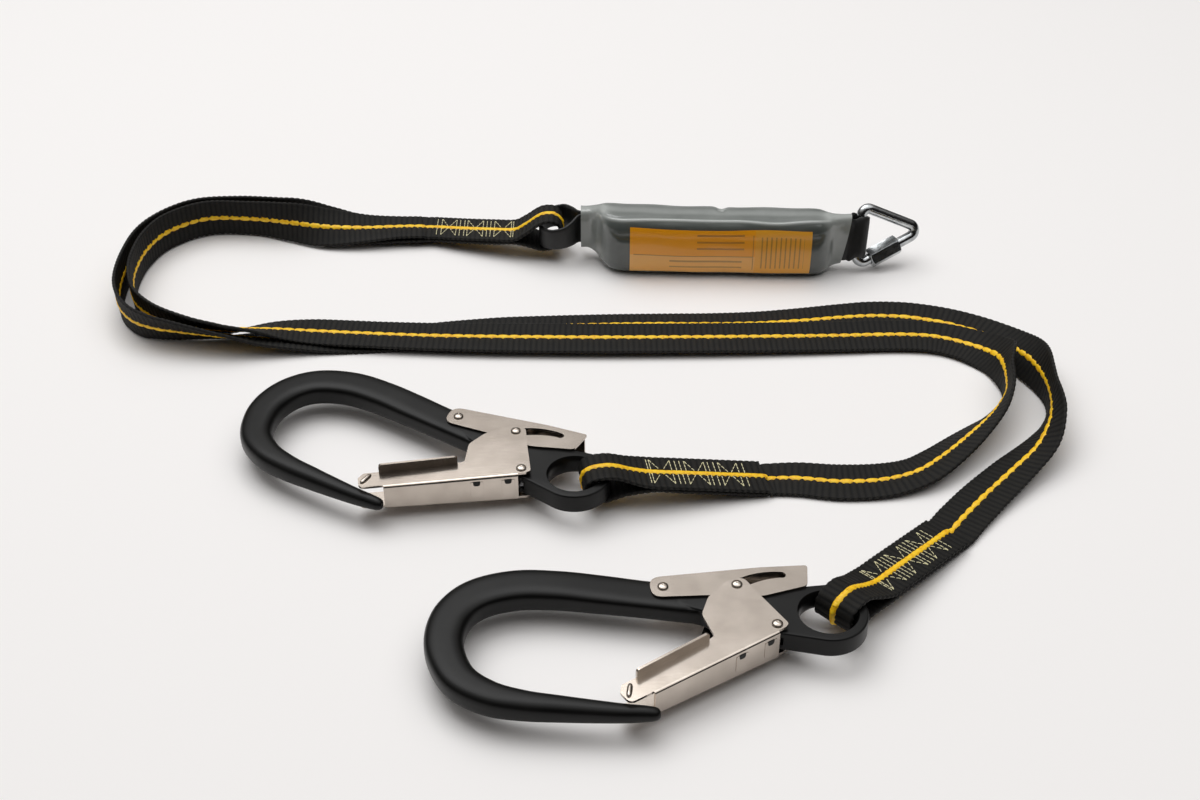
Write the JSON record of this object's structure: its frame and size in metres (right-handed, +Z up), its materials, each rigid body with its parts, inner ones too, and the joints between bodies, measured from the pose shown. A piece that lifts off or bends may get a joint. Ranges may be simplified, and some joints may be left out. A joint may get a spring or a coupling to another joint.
{
  "type": "twin webbing lanyard",
  "caption": "Twin webbing fall-arrest lanyard with an energy absorber, a triangular quick link and large double-action scaffold hooks.",
  "frame": {"origin": "centre of the rigid pieces' bounding box, on the floor that the lanyard lies on", "axes": "+Z up from the floor, +X along the absorber from the legs' sewn centre to the quick link, +Y from the hooks to the absorber"},
  "size_m": [0.6489, 0.5233, 0.0475],
  "materials": {
    "webbing": "woven polyester webbing, black with a yellow stripe",
    "forging": "black coated steel forging",
    "stainless": "satin stainless sheet and rivets",
    "zinc": "bright zinc-plated steel",
    "spring_steel": "plain spring wire",
    "sleeve": "smoky clear shrunk film",
    "label": "plain printed film",
    "tear_webbing": "folded tear webbing"
  },
  "bodies": {
    "webbing": {"centre_loop": "webbing", "leg_a_webbing": "webbing", "leg_b_webbing": "webbing", "hook_a_eye_loop": "webbing", "hook_b_eye_loop": "webbing"},
    "hook_a": {"hook_a_body": "forging", "hook_a_gate_rivet": "stainless", "hook_a_lever_rivet": "stainless", "hook_a_gate_spring": "spring_steel", "hook_a_lever_spring": "spring_steel"},
    "hook_a_gate_assembly": {"hook_a_gate": "stainless", "hook_a_guide_pin": "stainless"},
    "hook_a_lever_assembly": {"hook_a_lock_lever": "stainless"},
    "hook_b": {"hook_b_body": "forging", "hook_b_gate_rivet": "stainless", "hook_b_lever_rivet": "stainless", "hook_b_gate_spring": "spring_steel", "hook_b_lever_spring": "spring_steel"},
    "hook_b_gate_assembly": {"hook_b_gate": "stainless", "hook_b_guide_pin": "stainless"},
    "hook_b_lever_assembly": {"hook_b_lock_lever": "stainless"},
    "absorber": {"absorber_sleeve": "sleeve", "absorber_tear_webbing": "tear_webbing", "absorber_label": "label", "absorber_eye_leg_side": "webbing", "absorber_eye_link_side": "webbing"},
    "quick_link": {"quick_link_body": "zinc"},
    "quick_link_nut": {"quick_link_nut": "zinc"}
  },
  "joints": [
    {"name": "hook_a_swing", "type": "hinge", "parent": "webbing", "child": "hook_a", "pos_m": [-0.00179, -0.06475, 0.017], "axis": [-0.1599, 0.9871, 0], "range_deg": [0, 55]},
    {"name": "hook_a_gate_hinge", "type": "hinge", "parent": "hook_a", "child": "hook_a_gate_assembly", "pos_m": [-0.05208, -0.06721, 0.017], "axis": [0, 0, -1], "range_deg": [0, 40], "stiffness_Nm_per_rad": 0.05, "springref_deg": -17.19, "deforming": ["hook_a_gate_spring"]},
    {"name": "hook_a_lever_hinge", "type": "hinge", "parent": "hook_a", "child": "hook_a_lever_assembly", "pos_m": [-0.09341, -0.01329, 0.017], "axis": [0, 0, -1], "range_deg": [0, 4.2], "stiffness_Nm_per_rad": 0.05, "springref_deg": -5.73, "deforming": ["hook_a_lever_spring"]},
    {"name": "hook_b_swing", "type": "hinge", "parent": "webbing", "child": "hook_b", "pos_m": [0.13196, -0.17301, 0.017], "axis": [-0.729, 0.6845, 0], "range_deg": [0, 55]},
    {"name": "hook_b_gate_hinge", "type": "hinge", "parent": "hook_b", "child": "hook_b_gate_assembly", "pos_m": [0.09012, -0.19971, 0.017], "axis": [0, 0, -1], "range_deg": [0, 40], "stiffness_Nm_per_rad": 0.05, "springref_deg": -17.19, "deforming": ["hook_b_gate_spring"]},
    {"name": "hook_b_lever_hinge", "type": "hinge", "parent": "hook_b", "child": "hook_b_lever_assembly", "pos_m": [0.02977, -0.16852, 0.017], "axis": [0, 0, -1], "range_deg": [0, 4.2], "stiffness_Nm_per_rad": 0.05, "springref_deg": -5.73, "deforming": ["hook_b_lever_spring"]},
    {"name": "absorber_swing", "type": "hinge", "parent": "webbing", "child": "absorber", "pos_m": [-0.04838, 0.22259, 0.0205], "axis": [0, -1, 0], "range_deg": [0, 60]},
    {"name": "link_swing", "type": "hinge", "parent": "absorber", "child": "quick_link", "pos_m": [0.18412, 0.20359, 0.02535], "axis": [0.0899, 0.3598, 0.9287], "range_deg": [-70, 70]},
    {"name": "link_nut_travel", "type": "slide", "parent": "quick_link", "child": "quick_link_nut", "axis": [0.8781, 0.3443, 0.3323], "range_m": [0, 0.01]}
  ],
  "couplings": [
    {"joint": "hook_a_lever_hinge", "follows": "hook_a_gate_hinge", "ratio": 0.1025},
    {"joint": "hook_b_lever_hinge", "follows": "hook_b_gate_hinge", "ratio": 0.1025}
  ]
}
